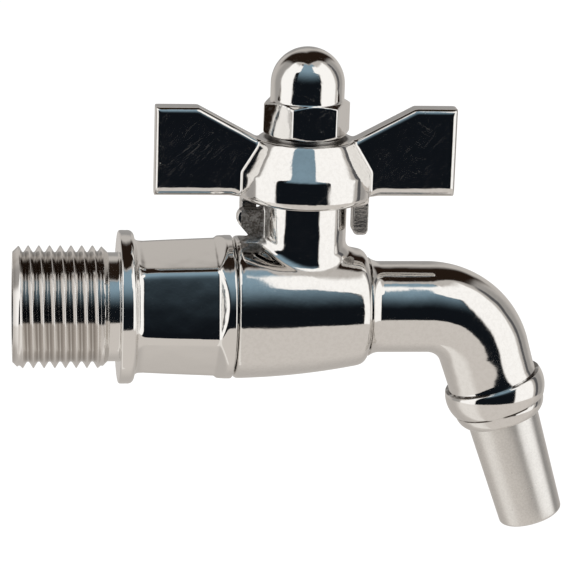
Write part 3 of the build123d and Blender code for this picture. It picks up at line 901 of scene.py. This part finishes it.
# Colours of the room, as the steel mirrors it
WALL = (0.58, 0.55, 0.52, 1)
WALL_SHADE = (0.38, 0.365, 0.35, 1)
BACK_WALL = (0.36, 0.35, 0.34, 1)
BOX_WHITE = (1.17, 1.16, 1.14, 1)
BOX_GAP = (0.03, 0.035, 0.045, 1)
FRONT_DARK = (0.006, 0.008, 0.011, 1)
CEILING_DARK = (0.020, 0.012, 0.008, 1)
WINDOW_BLUE = (0.25, 0.37, 0.455, 1)
TABLE_NEAR = (0.70, 0.66, 0.62, 1)
TABLE_FAR = (0.53, 0.50, 0.47, 1)
TABLE_LEFT = (0.90, 0.87, 0.83, 1)


def make_room():
    """Room that the polished steel mirrors: dark in front, bright at both sides, warm table below.

    Azimuth is in degrees to the right of straight in front, and height in degrees above the pipe. The arch
    runs over the room from the front to the back.
    """
    finish = Finish("room")
    split = finish.node("ShaderNodeSeparateXYZ", inputs={0: finish.place()})
    x, y, z = [Signal(finish, output) / ROOM_RADIUS for output in split.outputs]
    front = 0.0 - y
    azimuth = finish.signal("ShaderNodeMath", {"operation": "ARCTAN2"}, {0: x, 1: front}) * DEGREES
    height = finish.signal("ShaderNodeMath", {"operation": "ARCSINE"}, {0: z}) * DEGREES
    aside = finish.signal("ShaderNodeMath", {"operation": "ABSOLUTE"}, {0: azimuth})
    wide = finish.signal("ShaderNodeMath", {"operation": "ABSOLUTE"}, {0: x})
    over = finish.signal("ShaderNodeMath", {"operation": "ARCTAN2"}, {0: z, 1: front}) * DEGREES
    arch = over - 45.0 * wide
    below_arch = 1.0 - arch.above(66, 73)

    look = finish.blend(aside.inside(98, 128, 9), WALL, WALL_SHADE)
    look = finish.blend(aside.above(160, 170) * height.inside(-8, 30, 6), look, BACK_WALL)
    boxes = (azimuth.inside(-98, -57, 3) + azimuth.inside(38, 88, 3)) * height.inside(-30, 60, 4)
    look = finish.blend(boxes, look, BOX_WHITE)
    gap = azimuth.inside(97, 107, 1.5) * height.inside(-24, 45, 4)
    look = finish.blend(gap * 0.8, look, BOX_GAP)
    dark = azimuth.inside(-56, 36, 1.5) * height.inside(-40, 70, 4)
    look = finish.blend(dark, look, FRONT_DARK)
    ceiling = arch.above(70, 76) * (1.0 - arch.above(116, 134)) * (1.0 - wide.above(0.55, 0.7))
    look = finish.blend(ceiling, look, CEILING_DARK)
    window = azimuth.inside(-42, 35, 2) * height.above(8, 56) ** 1.2 * below_arch
    look = finish.blend(window, look, WINDOW_BLUE)

    # The boxes lean in over the dark front, further the higher they reach
    lean = height.above(34, 47) * 20.0
    right_flank = (azimuth + lean).above(37, 40) * (1.0 - azimuth.above(39, 42))
    left_flank = (lean - azimuth).above(57, 60) * azimuth.above(-61, -58)
    flanks = (right_flank + left_flank) * (1.0 - height.above(61, 67)) * below_arch
    look = finish.blend(flanks, look, BOX_WHITE)

    table = finish.blend(y.above(-0.1, 0.6), TABLE_NEAR, TABLE_FAR)
    table = finish.blend(azimuth.inside(-106, -50, 13), table, TABLE_LEFT)
    look = finish.blend(1.0 - height.above(-20, -17.5), look, table)
    glow = finish.node("ShaderNodeEmission", inputs={"Color": look, "Strength": 1.0})
    finish.tree.links.new(glow.outputs[0], finish.tree.nodes["Material Output"].inputs["Surface"])
    bpy.ops.object.select_all(action="DESELECT")
    bpy.ops.mesh.primitive_uv_sphere_add(
        segments=96, ring_count=48, radius=ROOM_RADIUS, location=(STEM_X, 0, 0)
    )
    room = bpy.context.object
    room.name = "room"
    bpy.ops.object.shade_smooth()
    room.data.materials.append(finish.material)
    room.visible_camera = False
    room.visible_diffuse = False
    room.visible_shadow = False
    room.visible_transmission = False


def make_lamp(name, place, size, power):
    """Soft lamp aimed at the stem, not seen in the metal."""
    data = bpy.data.lights.new(name, "AREA")
    data.shape = "RECTANGLE"
    data.size, data.size_y = size
    data.energy = power
    lamp = bpy.data.objects.new(name, data)
    aim = Vector((STEM_X, 0, 0)) - Vector(place)
    lamp.matrix_world = Matrix.Translation(place) @ aim.to_track_quat("-Z", "Y").to_matrix().to_4x4()
    lamp.visible_glossy = False
    bpy.context.collection.objects.link(lamp)


def make_world():
    """Plain white surroundings."""
    world = bpy.data.worlds.new("white_room")
    bpy.context.scene.world = world
    world.use_nodes = True
    background = world.node_tree.nodes["Background"]
    background.inputs["Color"].default_value = (1, 1, 1, 1)
    background.inputs["Strength"].default_value = 1.0


make_camera()
make_floor()
make_world()
make_room()
make_lamp("left_softbox", place=(-0.45, -0.35, 0.45), size=(0.5, 0.5), power=4)
make_lamp("right_softbox", place=(0.55, -0.30, 0.45), size=(0.5, 0.5), power=4)
make_lamp("top_softbox", place=(0.05, 0.10, 0.7), size=(0.8, 0.8), power=6)

bpy.context.scene.view_settings.view_transform = "Standard"

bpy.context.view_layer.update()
